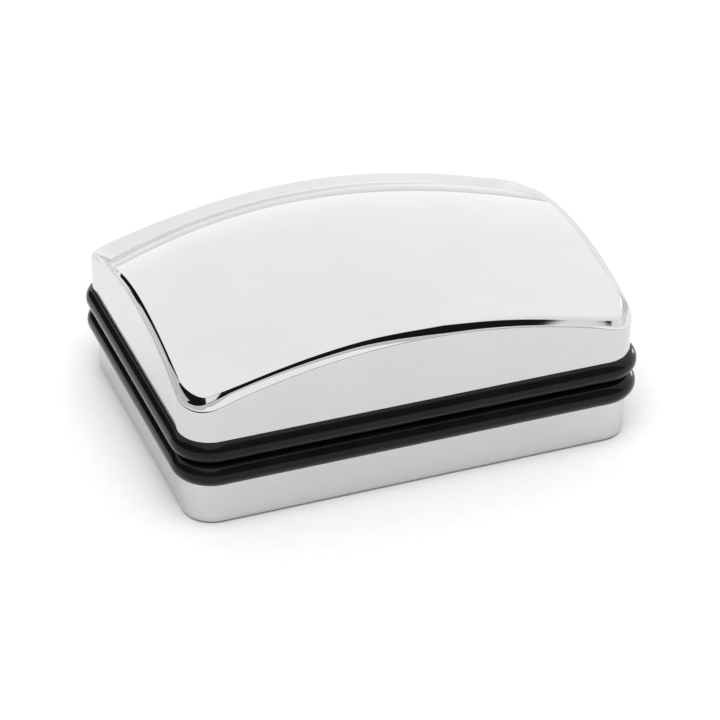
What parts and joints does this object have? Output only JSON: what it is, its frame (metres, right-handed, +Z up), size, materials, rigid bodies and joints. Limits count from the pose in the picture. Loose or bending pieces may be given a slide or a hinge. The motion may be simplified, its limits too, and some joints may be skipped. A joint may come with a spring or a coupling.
{
  "type": "hinged presentation box",
  "caption": "Small hinged presentation box with pressed chrome lid and base, arched lid edge, raised domed panel, black half-round beads at the parting line, padded insert inside.",
  "frame": {"origin": "centre of the underside of the base shell", "axes": "+X along the long side, -Y the front, away from the hinge, +Z up"},
  "size_m": [0.0826, 0.0622, 0.0334],
  "materials": {
    "chrome_shell": "mirror",
    "black_bead": "gloss",
    "hinge_steel": "nickel plated",
    "spring_steel": "bright",
    "card": "matte",
    "foam": "matte foam",
    "velvet": "velvet",
    "satin": "satin"
  },
  "bodies": {
    "base": {"base_shell": "chrome_shell", "base_frame": "black_bead", "base_hinge_leaf": "hinge_steel", "base_leaf_rivets": "hinge_steel", "hinge_pin": "hinge_steel", "snap_spring_left": "spring_steel", "snap_spring_right": "spring_steel", "insert_board": "card", "insert_foam": "foam", "insert_velvet": "velvet"},
    "lid": {"lid_shell": "chrome_shell", "lid_frame": "black_bead", "lid_hinge_leaf": "hinge_steel", "lid_leaf_rivets": "hinge_steel", "lid_board": "card", "lid_pad": "foam", "lid_lining": "satin"}
  },
  "joints": [
    {"name": "lid_hinge", "type": "hinge", "parent": "base", "child": "lid", "pos_m": [0, 0.0301, 0.01192], "axis": [-1, 0, 0], "range_deg": [0, 100]}
  ]
}
